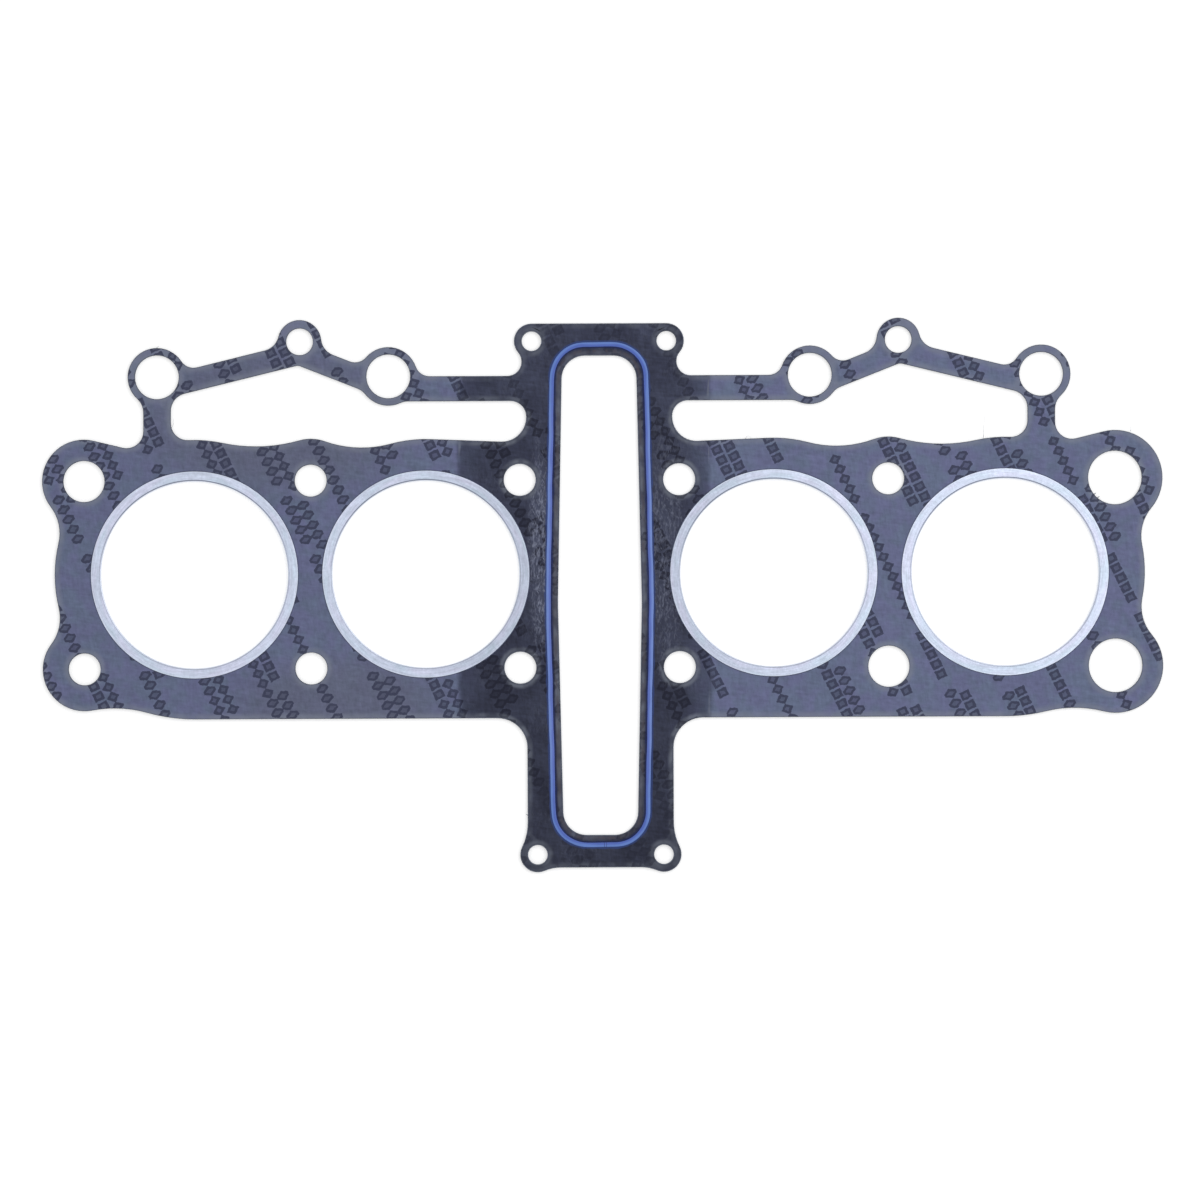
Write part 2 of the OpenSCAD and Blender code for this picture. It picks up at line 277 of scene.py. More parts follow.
    def band(self, value: Socket, middle: float, half: float, soft: float) -> Socket:
        """Is 1 within half of middle, and falls to 0 over soft beyond it."""
        return self.ease(self.apart(value, middle), half + soft, half)

    def pick(self, share: Value, first: Value, second: Value) -> Socket:
        """Goes from the first number at share 0 to the second at share 1."""
        node = self.add("ShaderNodeMix", data_type="FLOAT")
        return self.wire(node, {0: share, 2: first, 3: second}).outputs[0]

    def mix(self, share: Value, first: Value, second: Value) -> Socket:
        """Goes from the first colour at share 0 to the second at share 1."""
        node = self.add("ShaderNodeMix", data_type="RGBA")
        return self.wire(node, {0: share, 6: first, 7: second}).outputs[2]

    def over(self, colour: Value, tint: Tint, *masks: Value) -> Socket:
        """Lays a tint over a colour, where all the masks show it."""
        factors = masks if tint.share == 1.0 else (*masks, tint.share)
        return self.mix(self.times(*factors), colour, linear(tint.rgb))


class Shader(Nodes):
    """One material's nodes, round a Principled surface.

    The attributes place, x and y are the place on the object, in millimetres.
    """

    def __init__(self, name: str, roughness: float, metallic: float = 0.0,
                 gloss: float = 0.5) -> None:
        """Starts the material.

        Args:
            name: Name of the material.
            roughness: Even roughness, where no pattern is joined to it.
            metallic: 1 for bare metal.
            gloss: Specular level of the surface.
        """
        self.material = bpy.data.materials.new(name)
        self.material.use_nodes = True
        super().__init__(self.material.node_tree)
        self.tree.nodes.clear()
        self.surface = self.add("ShaderNodeBsdfPrincipled")
        self.wire(self.surface, {"Roughness": roughness, "Metallic": metallic,
                                 "Specular IOR Level": gloss})
        self.fill(self.add("ShaderNodeOutputMaterial"), self.surface.outputs["BSDF"])
        self.place = self.scaled(self.add("ShaderNodeTexCoord").outputs["Object"], 1 / MM)
        self.x, self.y, _ = self.split(self.place)

    def mottle(self, kind: Mottle) -> Socket:
        """Reads a mottle.

        Args:
            kind: The mottle.

        Returns:
            Its noise, or a number from 0 to 1 where it has a rise.
        """
        place = self.turned(self.place, kind.turn) if kind.turn else self.place
        place = self.vector("MULTIPLY", place, kind.stretch) if kind.stretch else place
        noise = self.noise(place, kind.scale, kind.detail, kind.seed)
        return self.ease(noise, *kind.rise) if kind.rise else noise

    def factor(self, kind: Mottle) -> Socket:
        """Gives a factor that swings round 1 with a mottle."""
        return self.around(self.mottle(kind), kind.swing)

    def shift(self, kind: Mottle) -> Socket:
        """Gives a distance that swings round 0 with a mottle."""
        return self.around(self.mottle(kind), kind.swing, 0.0)

    def reach(self, middle: Pair, radii: Pair) -> Socket:
        """Gives the distance from the middle of a level ellipse, as a share of its radii."""
        off = self.vector("SUBTRACT", self.place, (*middle, 0.0))
        return self.vector("LENGTH", self.vector("MULTIPLY", off, (1 / radii[0], 1 / radii[1], 0)))

    def outside(self, holes: Sequence[Pair], radius: float) -> Socket:
        """Gives the distance outside the nearest hole, of some at the right and their opposites."""
        offs = [self.distance(self.minus(self.calc("ABSOLUTE", self.x), x), self.minus(self.y, y))
                for x, y in holes]
        return self.minus(self.least(*offs), radius)

    def stored(self, name: str, output: str = "Fac") -> Socket:
        """Reads what the mesh stores, as Fac for a number or Vector for a vector."""
        return self.add("ShaderNodeAttribute", attribute_name=name).outputs[output]

    def dress(self, colour: Socket, roughness: Value, height: Socket, relief: float) -> Material:
        """Joins colour, roughness and relief to the surface.

        Args:
            colour: Colour of the surface.
            roughness: Its roughness.
            height: A number from 0 to 1 that the relief follows.
            relief: Height of the relief, in metres.

        Returns:
            The finished material.
        """
        bump = self.add("ShaderNodeBump")
        self.wire(bump, {"Strength": 1.0, "Distance": relief, "Height": height})
        self.wire(self.surface, {"Base Color": colour, "Roughness": roughness,
                                 "Normal": bump.outputs[0]})
        return self.material


@dataclass(frozen=True)
class PrintRows:
    """Rows of plain filled motifs: lozenges, diamonds or squares.

    The first numbers of the lozenge and the diamond are the slopes of their sides, and the last
    one is the reach. The shares are the chances of a lozenge, and of a lozenge or diamond.
    """

    slant: float = 64.0
    line_height: float = 4.4
    lines_per_row: float = 4.0
    cell_width: float = 3.75
    squeeze: float = 1.2
    cells_per_group: float = 6.0
    longest_group: float = 5.4
    group_spread: float = 1.4
    start_spread: float = 40.0
    second_left_out: float = 0.35
    lozenge: Triple = (0.87, 0.58, 1.48)
    diamond: Pair = (0.72, 1.3)
    square: float = 1.4
    shares: Pair = (0.45, 0.72)
    inset: float = -0.1
    filled_from: float = -0.4
    stroke: float = 0.45
    thinner: float = 0.55
    soft: float = 0.12
    faded: float = 0.2
    fading: Mottle = Mottle(0.8, 2.0, 5, rise=(0.2, 0.5))
    blur_x: Mottle = Mottle(0.9, 2.0, 9, swing=0.5)
    blur_y: Mottle = Mottle(0.9, 2.0, 10, swing=0.5)

    def motif(self, s: Shader, x: Socket, y: Socket, kind: Socket) -> Socket:
        """Distance from the outline of the motif in one cell, below 0 inside it.

        Args:
            s: The material's nodes.
            x: Place along the row, from the cell's middle.
            y: Place across the row.
            kind: Draw from 0 to 1 that picks the motif.

        Returns:
            The distance.
        """
        ax, ay = s.calc("ABSOLUTE", x), s.calc("ABSOLUTE", y)
        along, across, reach = self.lozenge
        lozenge = s.minus(s.sloped(ax, along, s.times(ay, across)), reach)
        slope, reach = self.diamond
        diamond = s.sloped(s.plus(ax, ay), slope, -reach)
        square = s.minus(s.most(ax, ay), self.square)
        pointed = s.pick(s.calc("GREATER_THAN", kind, self.shares[0]), lozenge, diamond)
        return s.pick(s.calc("GREATER_THAN", kind, self.shares[1]), pointed, square)

    def mask(self, s: Shader) -> Socket:
        """Where the print lies.

        Args:
            s: The material's nodes.

        Returns:
            Share of ink, full in the outlines and thinner inside them.
        """
        blur = s.join(s.shift(self.blur_x), s.shift(self.blur_y))
        u, v, _ = s.split(s.turned(s.vector("ADD", s.place, blur), self.slant))
        lines = s.calc("DIVIDE", v, self.line_height)
        line = s.calc("FLOOR", lines)
        y = s.sloped(s.calc("FRACT", lines), self.line_height, -self.line_height / 2)
        start = s.times(s.chance(line, 0.0, 1.0), self.start_spread)
        cells = s.calc("DIVIDE", s.plus(u, start), self.cell_width)
        cell = s.calc("FLOOR", cells)
        width = self.cell_width * self.squeeze
        x = s.sloped(s.calc("FRACT", cells), width, -width / 2)
        group = s.calc("FLOOR", s.calc("DIVIDE", cell, self.cells_per_group))
        number = s.calc("FLOORED_MODULO", cell, self.cells_per_group)
        draw = s.chance(group, line, 2.0)
        length = s.sloped(draw, -self.group_spread, self.longest_group)
        in_group = s.calc("LESS_THAN", number, length)
        row_line = s.calc("FLOORED_MODULO", line, self.lines_per_row)
        main_line = s.calc("LESS_THAN", row_line, 0.5)
        second_line = s.calc("LESS_THAN", s.apart(row_line, 1.0), 0.5)
        draw = s.chance(group, line, 3.0)
        kept = s.times(second_line, s.calc("GREATER_THAN", draw, self.second_left_out))
        shown = s.times(in_group, s.most(main_line, kept))
        outline = self.motif(s, x, y, s.chance(group, line, 4.0))
        stroke = s.band(outline, self.inset, self.stroke, self.soft)
        inside = s.times(s.ease(outline, self.inset, self.filled_from), self.thinner)
        fading = s.sloped(s.mottle(self.fading), self.faded, 1 - self.faded)
        return s.times(s.most(stroke, inside), shown, fading)


@dataclass(frozen=True)
class CoatSides:
    """The coat's two straight sides, where it thins out."""

    left: float
    right: float
    blur: float = 1.5
    thin_w: float = 11.0
    thin_left: float = 0.18
    thin_right: float = 0.36
    wander: Mottle = Mottle(0.07, 1.0, 18, swing=2.0)
    ragged: Mottle = Mottle(0.45, 2.0, 20, swing=0.9)

    def inward(self, s: Shader) -> Socket:
        """Gives the distance inside the nearer side, below 0 outside the coat."""
        return s.least(s.minus(s.x, self.left), s.minus(self.right, s.x))

    def cover(self, s: Shader) -> Socket:
        """How well the coat covers the facing, with a wandering border.

        Args:
            s: The material's nodes.

        Returns:
            Share of coat, from 0 to 1.
        """
        inward = self.inward(s)
        border = s.plus(s.shift(self.wander), s.shift(self.ragged))
        full = s.ease(s.plus(inward, border), -self.blur, self.blur)
        at_right = s.calc("GREATER_THAN", s.x, 0.0)
        thinned = s.sloped(at_right, self.thin_right - self.thin_left, self.thin_left)
        thin = s.times(s.ease(inward, self.thin_w, 0.0), thinned)
        return s.times(full, s.minus(1.0, thin))


@dataclass(frozen=True)
class FacingFinish:
    """Pressed blue-grey fibre with a print on it."""

    sides: CoatSides
    violet: Rgb = (99, 103, 136)
    teal: Rgb = (96, 106, 132)
    veil: Rgb = (54, 58, 76)
    aged: Tint = Tint((93, 97, 118), 0.75)
    ink: Tint = Tint((50, 54, 78), 0.95)
    rubbed_edge: Tint = Tint((122, 128, 144))
    # Painted shade: a dark line along the cut edges, where the rounded edge falls into shade.
    cut_edge_shade: Tint = Tint((78, 83, 92), 0.7)
    # Painted shadow: a dark line on the facing just outside each ring, where the ring's raised edge
    # shades it.
    painted_ring_shadow: Tint = Tint((60, 64, 80), 0.5)
    aged_spots: tuple[Spot, Spot] = (
        ((-112.0, 54.0), (53.0, 29.0)), ((-90.0, -46.0), (40.0, 20.0)))
    aged_side: Pair = (1.15, 0.5)
    # Painted light: the facing is painted up to 5 % lighter towards the right, as the lamp's
    # falloff.
    painted_light_x: Pair = (-40.0, 120.0)
    painted_light: float = 0.05
    fibre_swing: float = 0.45
    worn: Pair = (0.3, 0.35)
    rim_w: Pair = (2.6, 0.5)
    cut_w: Pair = (0.4, 0.1)
    ring_shadow_w: Pair = (0.5, 0.1)
    veil_w: float = 3.0
    veil_ink: Pair = (-0.3, 1.15)
    veil_fibre: Pair = (1.9, 0.05)
    fibre_rough: Pair = (0.2, 0.68)
    ink_rough: float = -0.16
    relief: float = 0.00006
    ring_r: float = 35.7
    bores: tuple[Pair, Pair] = ((60.0, 0.0), (139.8, 0.0))
    cloud: Mottle = Mottle(0.17, 2.0, 1, rise=(0.36, 0.64))
    broad: Mottle = Mottle(0.035, 1.0, 2, swing=0.05)
    long_fibre: Mottle = Mottle(0.9, 2.5, 3, turn=8.0, stretch=(0.35, 1.4, 1.0))
    cross_fibre: Mottle = Mottle(0.9, 2.5, 4, turn=82.0, stretch=(0.4, 1.5, 1.0))
    ragged: Mottle = Mottle(1.1, 2.0, 6, swing=0.15)
    wear: Mottle = Mottle(0.25, 1.0, 7, rise=(0.3, 0.6))
    grain: Mottle = Mottle(0.6, 3.0, 8, swing=0.2)
    print_rows: PrintRows = PrintRows()

    def colour(self, s: Shader, depth: Socket) -> tuple[Socket, Socket, Socket]:
        """Colour of the bare facing.

        Args:
            s: The material's nodes.
            depth: Distance from the nearest cut edge, in millimetres.

        Returns:
            The colour, the share of ink and the fibre pattern.
        """
        both_ways = s.plus(s.mottle(self.long_fibre), s.mottle(self.cross_fibre))
        fibre = s.times(both_ways, 0.5)
        grain = s.times(s.around(fibre, self.fibre_swing), s.factor(self.grain))
        # Painted light: a factor up to 1.05 that lightens the facing towards the right, as the lamp
        # would.
        painted_light = s.sloped(s.ease(s.x, *self.painted_light_x), self.painted_light, 1.0)
        aged = s.least(*[s.reach(*spot) for spot in self.aged_spots])
        colour = s.mix(s.mottle(self.cloud), linear(self.violet), linear(self.teal))
        colour = s.over(colour, self.aged, s.ease(aged, *self.aged_side))
        colour = s.scaled(colour, s.times(s.factor(self.broad), painted_light, grain))
        from_cut = s.plus(depth, s.shift(self.ragged))
        worn = s.sloped(s.mottle(self.wear), *self.worn)
        colour = s.over(colour, self.rubbed_edge, s.ease(from_cut, *self.rim_w), worn)
        ink = self.print_rows.mask(s)
        colour = s.over(colour, self.ink, ink)
        # Painted shade along the cut edges.
        colour = s.over(colour, self.cut_edge_shade, s.ease(from_cut, *self.cut_w))
        return colour, ink, fibre

    def from_rings(self, s: Shader) -> Socket:
        """Gives the distance outside the nearest ring's outer edge, below 0 under the ring."""
        return s.outside(self.bores, self.ring_r)

    def material(self) -> Material:
        """Makes the material.

        Returns:
            The facing's material, which reads the point attribute depth.
        """
        s = Shader("facing_fibre", roughness=0.8, gloss=0.25)
        colour, ink, fibre = self.colour(s, s.stored("depth"))
        # Painted shadow just outside the rings.
        colour = s.over(colour, self.painted_ring_shadow, s.ease(self.from_rings(s), *self.ring_shadow_w))
        near = s.ease(self.sides.inward(s), self.veil_w, self.veil_w / 2)
        veiled = s.times(self.sides.cover(s), near, s.sloped(ink, *self.veil_ink))
        veil = s.scaled(linear(self.veil)[:3], s.sloped(fibre, *self.veil_fibre))
        roughness = s.sloped(ink, self.ink_rough, s.sloped(fibre, *self.fibre_rough))
        return s.dress(s.mix(veiled, colour, veil), roughness, fibre, self.relief)


@dataclass(frozen=True)
class TunnelRun:
    """Run of the bead round the chain tunnel, read from its node's box."""

    half_w: float
    mid_y: float
    half_h: float
    bow: float = 1.55
    bow_y: float = -10.0
    bow_reach: float = 75.0
    corner_r: float = 8.0
    gap: float = 2.5
    width: float = 1.75

    @classmethod
    def of_node(cls, node: str) -> "TunnelRun":
        """Reads the run from a bead's node.

        Args:
            node: Name of the bead's node.

        Returns:
            The run.
        """
        low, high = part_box(node)
        reach = cls.gap + cls.width
        return cls(half_w=high.x / MM - reach, mid_y=(high.y + low.y) / 2 / MM,
                   half_h=(high.y - low.y) / 2 / MM - reach)

    def distance(self, s: Shader) -> Socket:
        """Distance outside the tunnel's outline.

        Args:
            s: The material's nodes.

        Returns:
            The distance.
        """
        from_bow = s.calc("DIVIDE", s.apart(s.y, self.bow_y), self.bow_reach)
        half_w = s.sloped(s.least(from_bow, 1.0), -self.bow, self.half_w - self.corner_r)
        qx = s.minus(s.calc("ABSOLUTE", s.x), half_w)
        qy = s.minus(s.apart(s.y, self.mid_y), self.half_h - self.corner_r)
        beyond = s.distance(s.most(qx, 0.0), s.most(qy, 0.0))
        within = s.least(s.most(qx, qy), 0.0)
        return s.minus(s.plus(beyond, within), self.corner_r)


@dataclass(frozen=True)
class CoatFinish:
    """Dark satin sealing coat, scuffed by handling."""

    facing: FacingFinish
    run: TunnelRun
    base: Rgb = (57, 61, 80)
    deep: Rgb = (46, 49, 67)
    blue_lip: Rgb = (92, 97, 120)
    brown_lip: Rgb = (76, 72, 82)
    halo: Rgb = (27, 36, 80)
    outer_halo: Rgb = (50, 66, 116)
    halo_share: float = 0.85
    print_tone: Tint = Tint((24, 26, 42))
    sheen: Tint = Tint((80, 85, 106), 0.42)
    scuff: Tint = Tint((118, 123, 143))
    streak: Tint = Tint((74, 70, 80), 0.65)
    rubbed_edge: Tint = Tint((97, 102, 115))
    hole_rim: Tint = Tint((97, 102, 115), 0.5)
    # Painted shade: a dark line along the coat's cut edges.
    cut_edge_shade: Tint = Tint((46, 50, 60), 0.75)
    # Painted shadow: the same dark line on the coat just outside each ring.
    painted_ring_shadow: Tint = Tint((24, 26, 42), 0.5)
    flange_y: Pair = (58.0, 72.0)
    flange_print: Pair = (-0.4, 0.85)
    flange_wear: Pair = (-0.65, 1.2)
    print_wear: Pair = (-0.6, 1.0)
    worn: Pair = (0.7, 0.2)
    # Painted light: the coat is painted lighter towards the top, as the lamp above the upper right
    # would light it.
    painted_light_up: Pair = (0.0018, 0.975)
    fibre_tone: Pair = (1.9, 0.05)
    fibre_satin: Pair = (0.2, 0.4)
    scuff_satin: float = 0.22
    bare_rough: float = 0.78
    scuff_relief: float = 0.3
    relief: float = 0.00005
    rim_w: Pair = (2.3, 0.9)
    cut_w: Pair = (0.6, 0.25)
    ring_shadow_w: Pair = (0.7, 0.2)
    lip_w: Pair = (1.3, 0.7)
    left_lip_x: float = -8.0
    left_lip_w: float = 0.7
    streak_band: Triple = (1.05, 0.3, 0.35)
    halo_w: float = 0.2
    halo_soft: float = 0.45
    flange_holes: tuple[Pair, Pair] = ((23.25, 80.2), (21.75, -96.95))
    flange_hole_r: float = 3.35
    hole_rim_w: Pair = (2.6, 0.8)
    left_scuff: Spot = ((-20.4, 9.0), (4.35, 37.0))
    left_side: Pair = (1.25, 0.4)
    right_scuff: Spot = ((23.0, 6.0), (6.7, 41.7))
    right_side: Pair = (1.25, 0.5)
    right_share: float = 0.45
    patch_share: float = 0.1
    tall: Mottle = Mottle(1.0, 2.0, 11, (0.46, 0.68), turn=5.0, stretch=(1.5, 0.42, 1.0))
    slanted: Mottle = Mottle(1.0, 2.0, 12, (0.49, 0.7), turn=-30.0, stretch=(1.4, 0.5, 1.0))
    fine: Mottle = Mottle(1.0, 1.0, 19, (0.28, 0.58), turn=12.0, stretch=(2.6, 0.8, 1.0))
    patch: Mottle = Mottle(0.08, 2.0, 13, (0.42, 0.62))
    tone: Mottle = Mottle(0.1, 3.0, 14, (0.3, 0.7))
    wear: Mottle = Mottle(0.2, 2.0, 15, (0.35, 0.65))
    rough_line: Mottle = Mottle(0.35, 2.0, 16, swing=0.45)
    streaky: Mottle = Mottle(0.6, 3.0, 17, (0.42, 0.6), stretch=(1.3, 0.35, 1.0))
    lip: Mottle = Mottle(0.045, 1.0, 23, (0.4, 0.6))
    patchy: Mottle = Mottle(0.22, 2.0, 24, (0.35, 0.6))

    def scuffs(self, s: Shader) -> tuple[Socket, Socket]:
        """Short pale strokes, mostly upright, thickest left of the tunnel, and a few at its right.

        Args:
            s: The material's nodes.

        Returns:
            Share of scuff, and how worn the coat is.
        """
        strokes = s.most(s.mottle(self.tall), s.mottle(self.slanted))
        strokes = s.times(strokes, s.mottle(self.fine))
        left = s.ease(s.reach(*self.left_scuff), *self.left_side)
        right = s.ease(s.reach(*self.right_scuff), *self.right_side)
        worn = s.most(left, s.times(right, self.right_share))
        amount = s.sloped(s.mottle(self.patch), self.patch_share, worn)
        return s.times(strokes, s.least(amount, 1.0)), worn

    def bordered(self, s: Shader, colour: Socket, wear: Socket) -> Socket:
        """Rubs the coat off at its edges, and stains it on both sides of the bead.

        Args:
            s: The material's nodes.
            colour: Colour of the coat.
            wear: How worn its edges are.

        Returns:
            The colour with both.
        """
        depth = s.stored("depth")
        out = self.run.distance(s)
        at_left = s.calc("LESS_THAN", s.x, self.left_lip_x)
        from_tunnel = s.sloped(at_left, -self.left_lip_w, out)
        lip = s.mix(s.mottle(self.lip), linear(self.blue_lip), linear(self.brown_lip))
        colour = s.mix(s.times(s.ease(from_tunnel, *self.lip_w), wear), colour, lip)
        colour = s.over(colour, self.rubbed_edge, s.ease(depth, *self.rim_w), wear)
        hole_rims = s.ease(s.outside(self.flange_holes, self.flange_hole_r), *self.hole_rim_w)
        colour = s.over(colour, self.hole_rim, hole_rims, s.mottle(self.patchy))
        # Painted shade along the cut edges.
        colour = s.over(colour, self.cut_edge_shade, s.ease(depth, *self.cut_w))
        inner = s.plus(out, s.shift(self.rough_line))
        streaks = s.band(inner, *self.streak_band)
        colour = s.over(colour, self.streak, streaks, s.mottle(self.streaky))
        half_w = self.run.width / 2
        middle = self.run.gap + half_w
        halo = s.band(inner, middle, half_w + self.halo_w, self.halo_soft)
        beyond = s.calc("GREATER_THAN", out, middle)
        glow = s.mix(beyond, linear(self.halo), linear(self.outer_halo))
        return s.mix(s.times(halo, self.halo_share), colour, glow)

    def material(self) -> Material:
        """Makes the material.

        Returns:
            The coat's material, which reads the point attribute depth.
        """
        s = Shader("sealing_coat", roughness=0.45, gloss=0.12)
        bare, ink, fibre = self.facing.colour(s, s.stored("depth"))
        scuff, worn = self.scuffs(s)
        colour = s.mix(s.mottle(self.tone), linear(self.deep), linear(self.base))
        colour = s.over(colour, self.sheen, worn)
        # Painted light: tone is a painted gradient, lighter towards the top, times the fibre
        # pattern.
        tone = s.times(s.sloped(s.y, *self.painted_light_up), s.sloped(fibre, *self.fibre_tone))
        on_flange = s.ease(s.apart(s.y, self.run.mid_y), *self.flange_y)
        printed = s.times(ink, s.sloped(on_flange, *self.flange_print))
        colour = s.over(s.scaled(colour, tone), self.print_tone, printed)
        colour = s.over(colour, self.scuff, scuff)
        wear = s.times(s.sloped(s.mottle(self.wear), *self.worn),
                       s.sloped(on_flange, *self.flange_wear), s.sloped(ink, *self.print_wear))
        colour = self.bordered(s, colour, wear)
        # Painted shadow just outside the rings.
        painted_ring_shadow = s.ease(self.facing.from_rings(s), *self.ring_shadow_w)
        colour = s.over(colour, self.painted_ring_shadow, painted_ring_shadow)
        cover = self.facing.sides.cover(s)
        satin = s.sloped(scuff, self.scuff_satin, s.sloped(fibre, *self.fibre_satin))
        roughness = s.pick(cover, self.bare_rough, satin)
        height = s.sloped(scuff, self.scuff_relief, fibre)
        return s.dress(s.mix(cover, bare, colour), roughness, height, self.relief)


@dataclass(frozen=True)
class Brushing:
    """Streaks on a ring: how many round and across it, finer layers, and swing of their factor."""

    round: float
    across: float
    detail: float
    swing: float = 0.0


@dataclass(frozen=True)
class RingFinish:
    """Thin rolled metal with fine streaks along the band."""

    body: Rgb = (192, 200, 219)
    lavender: Rgb = (196, 200, 221)
    green: Tint = Tint((187, 199, 216))
    # Painted shade: the dark line in the groove at the inner fold, stronger on each ring's upper
    # side.
    fold: Tint = Tint((112, 117, 133))
    # Painted highlight on the rounded inner lip inside the fold.
    inner_lip_highlight: Tint = Tint((216, 221, 232), 0.6)
    # Painted highlight: a pale line along each ring's outer edge.
    rim: Tint = Tint((222, 229, 242), 0.25)
    streaks: Brushing = Brushing(7.0, 1.7, 3.0, 0.28)
    fine: Brushing = Brushing(22.0, 3.5, 2.0, 0.18)
    hatch: Brushing = Brushing(46.0, 0.6, 2.0, 0.16)
    wide: Brushing = Brushing(1.6, 0.0, 2.0, 0.07)
    tint: Brushing = Brushing(3.4, 0.4, 1.0)
    body_from: Pair = (0.35, 0.5)
    green_from: Pair = (0.52, 0.66)
    rings_per_mm: float = 0.01
    seed_step: float = 7.3
    steep: float = 1.7
    # The rings are painted up to 16 % darker towards the middle of the gasket.
    darker_x: Pair = (78.0, 24.0)
    darkening: float = -0.16
    fold_r: float = 32.64
    fold_half: float = 0.12
    fold_from: Pair = (0.1, 0.8)
    fold_share: Pair = (0.45, 0.5)
    lip_w: float = 0.15
    outer_r: float = 35.7
    rim_w: Pair = (0.45, 0.15)
    rough: Pair = (0.2, 0.24)
    relief: float = 0.00002

    def material(self) -> Material:
        """Makes the material.

        Returns:
            The rings' material, which reads the point attribute about.
        """
        s = Shader("ring_metal", roughness=0.33, metallic=1.0)
        x, y, z = s.split(s.scaled(s.stored("about", "Vector"), 1 / MM))
        flat = s.join(x, y)
        r = s.vector("LENGTH", flat)
        heading = s.vector("NORMALIZE", flat)
        seed = s.times(s.calc("FLOOR", s.times(s.x, self.rings_per_mm)), self.seed_step)
        depth = s.join(0.0, 0.0, s.plus(r, s.times(z, self.steep)))

        def brushed(kind: Brushing) -> Socket:
            """Reads one kind of streaks."""
            place = s.vector("ADD", s.scaled(heading, kind.round), s.scaled(depth, kind.across))
            return s.noise(place, 1.0, kind.detail, seed)

        streaks, hatch, wide, tint = map(brushed, (self.streaks, self.hatch, self.wide, self.tint))
        colour = s.mix(s.ease(tint, *self.body_from), linear(self.lavender), linear(self.body))
        colour = s.over(colour, self.green, s.ease(tint, *self.green_from))
        fine = s.around(brushed(self.fine), self.fine.swing)
        shade = s.times(s.around(streaks, self.streaks.swing), s.around(hatch, self.hatch.swing),
                        s.around(wide, self.wide.swing), fine)
        # Darker towards the middle of the gasket.
        darker = s.sloped(s.ease(s.calc("ABSOLUTE", s.x), *self.darker_x), self.darkening, 1.0)
        colour = s.scaled(colour, s.times(shade, darker))
        # Painted highlight on the inner lip.
        lip = s.ease(r, self.fold_r, self.fold_r - self.lip_w)
        colour = s.over(colour, self.inner_lip_highlight, lip)
        # Painted shade of the fold's groove, on a line that wanders a little, strongest on the
        # ring's upper side.
        wandering_r = s.plus(r, s.around(wide, self.fold_half, 0.0))
        fold = s.band(wandering_r, self.fold_r, self.fold_half, self.fold_half)
        _, upward, _ = s.split(heading)
        shaded = s.sloped(s.ease(upward, *self.fold_from), *self.fold_share)
        colour = s.over(colour, self.fold, fold, shaded)
        # Painted highlight along the outer edge.
        rim = s.ease(r, *[self.outer_r - way for way in self.rim_w])
        colour = s.over(colour, self.rim, rim)
        return s.dress(colour, s.sloped(streaks, *self.rough), s.plus(streaks, hatch), self.relief)


@dataclass(frozen=True)
class BeadFinish:
    """Soft blue silicone, with painted light that makes its run lighter towards the outer side."""

    run: TunnelRun
    outer: Rgb = (108, 134, 202)
    middle: Rgb = (86, 107, 186)
    skirt: Tint = Tint((40, 53, 110))
    seam: Tint = Tint((40, 53, 110), 0.55)
    # Painted light: where the outer flank of the bead is painted lighter.
    painted_light_at: Pair = (0.32, 0.66)
    skirt_at: Pair = (0.45, 0.55)
    ends_y: Pair = (50.0, 76.0)
    ends_tone: Rgb = (0.74, 0.86, 0.94)
    seam_xs: Pair = (1.25, 1.95)
    seam_y: float = -90.0
    seam_half: float = 0.1
    seam_soft: float = 0.12
    rough: Pair = (0.16, 0.32)
    relief: float = 0.00004
    cloud: Mottle = Mottle(0.5, 2.0, 21)
    cloud_swing: float = 0.1
    drift: Mottle = Mottle(0.12, 1.0, 22, swing=0.3)

    def material(self) -> Material:
        """Makes the material.

        Returns:
            The bead's material.
        """
        s = Shader("silicone_bead", roughness=0.4, gloss=0.4)
        out = s.minus(self.run.distance(s), self.run.gap)
        across = s.calc("DIVIDE", out, self.run.width)
        cloud = s.mottle(self.cloud)
        # Painted light: the outer flank of the bead is painted lighter, as a flank lit from outside
        # the run.
        painted_light = s.ease(s.plus(across, s.shift(self.drift)), *self.painted_light_at)
        colour = s.mix(painted_light, linear(self.middle), linear(self.outer))
        at_ends = s.ease(s.apart(s.y, self.run.mid_y), *self.ends_y)
        tone = s.mix(at_ends, WHITE, (*self.ends_tone, 1.0))
        colour = s.vector("MULTIPLY", s.scaled(colour, s.around(cloud, self.cloud_swing)), tone)
        colour = s.over(colour, self.skirt, s.ease(s.apart(across, 0.5), *self.skirt_at))
        ticks = [s.band(s.x, seam_x, self.seam_half, self.seam_soft) for seam_x in self.seam_xs]
        at_seam = s.times(s.most(*ticks), s.calc("LESS_THAN", s.y, self.seam_y))
        colour = s.over(colour, self.seam, at_seam)
        return s.dress(colour, s.sloped(cloud, *self.rough), cloud, self.relief)


@dataclass(frozen=True)
class FibreFinish:
    """Loose fibre from the punched edge."""

    dark: Rgb = (92, 97, 110)
    pale: Rgb = (176, 180, 188)
    cloud: Mottle = Mottle(0.9, 2.0, 31)
    pale_from: Pair = (0.35, 0.65)
    rough: Pair = (0.2, 0.6)
    relief: float = 0.00002

    def material(self) -> Material:
        """Makes the material.

        Returns:
            The fibres' material.
        """
        s = Shader("cut_fibre", roughness=0.7, gloss=0.2)
        cloud = s.mottle(self.cloud)
        colour = s.mix(s.ease(cloud, *self.pale_from), linear(self.dark), linear(self.pale))
        return s.dress(colour, s.sloped(cloud, *self.rough), cloud, self.relief)


